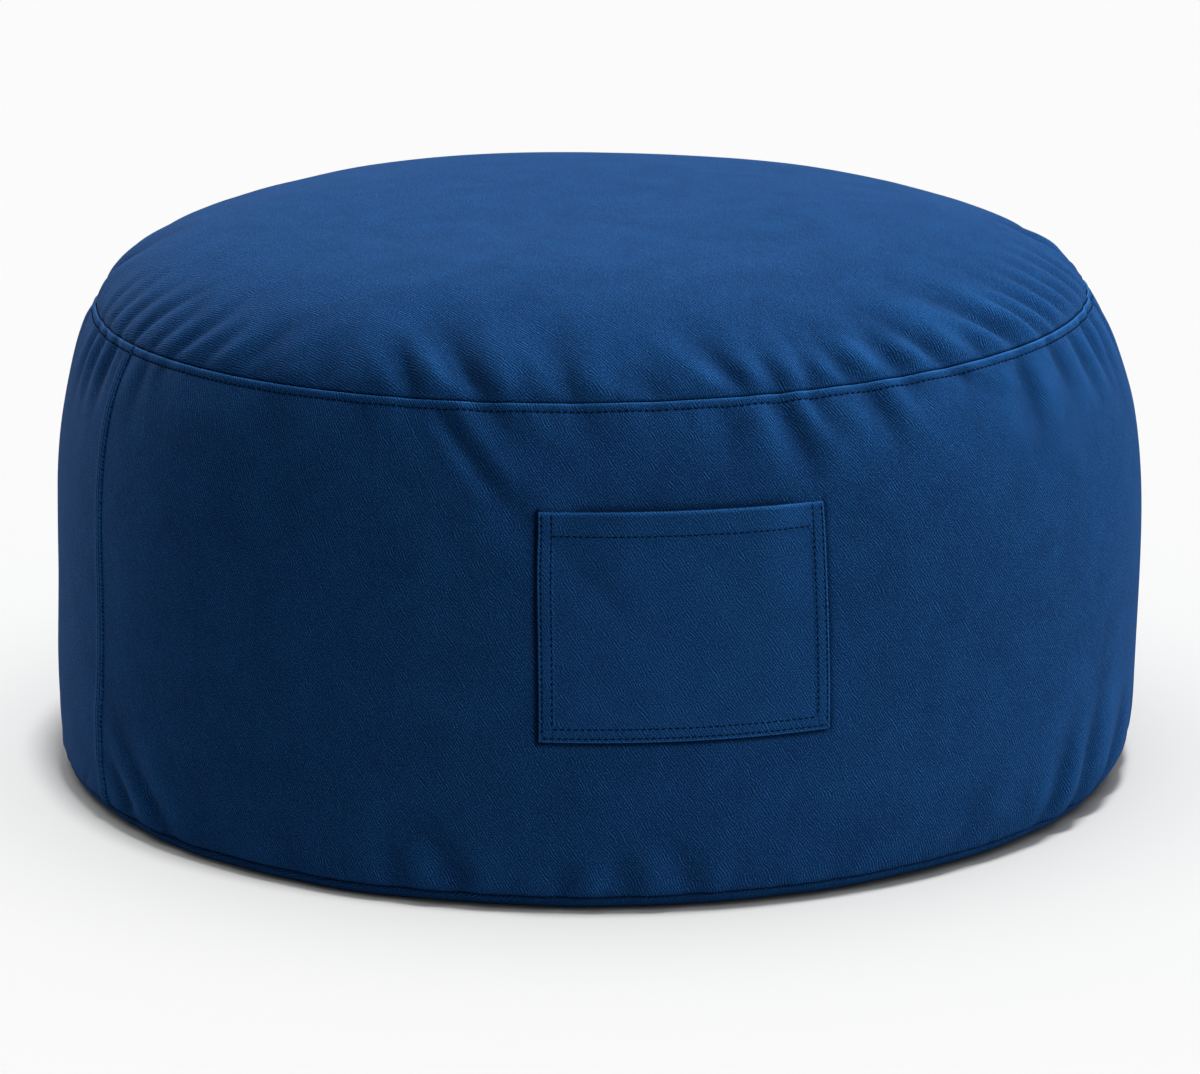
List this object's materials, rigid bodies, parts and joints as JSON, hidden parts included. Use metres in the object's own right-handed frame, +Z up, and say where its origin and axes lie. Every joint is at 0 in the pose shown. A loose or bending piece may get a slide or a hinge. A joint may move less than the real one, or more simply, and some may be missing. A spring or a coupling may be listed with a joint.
{
  "type": "giant bean bag",
  "caption": "Low round bean bag, tightly filled, with a crowned puckered top, a topstitched seam round its edge and a patch pocket sewn to the wall.",
  "frame": {"origin": "on the floor under the middle of the flat base", "axes": "+Z up; -Y towards the side with the patch pocket; +X to the right of a person facing the pocket"},
  "size_m": [1.0035, 1.007, 0.5224],
  "materials": {
    "bag_twill": "brushed cotton twill, matt with a faint nap, navy blue",
    "pocket_twill": "brushed cotton twill, matt with a faint nap, navy blue, edges turned under and topstitched twice"
  },
  "bodies": {
    "root": {"filled_bag": "bag_twill", "patch_pocket": "pocket_twill"}
  },
  "joints": []
}
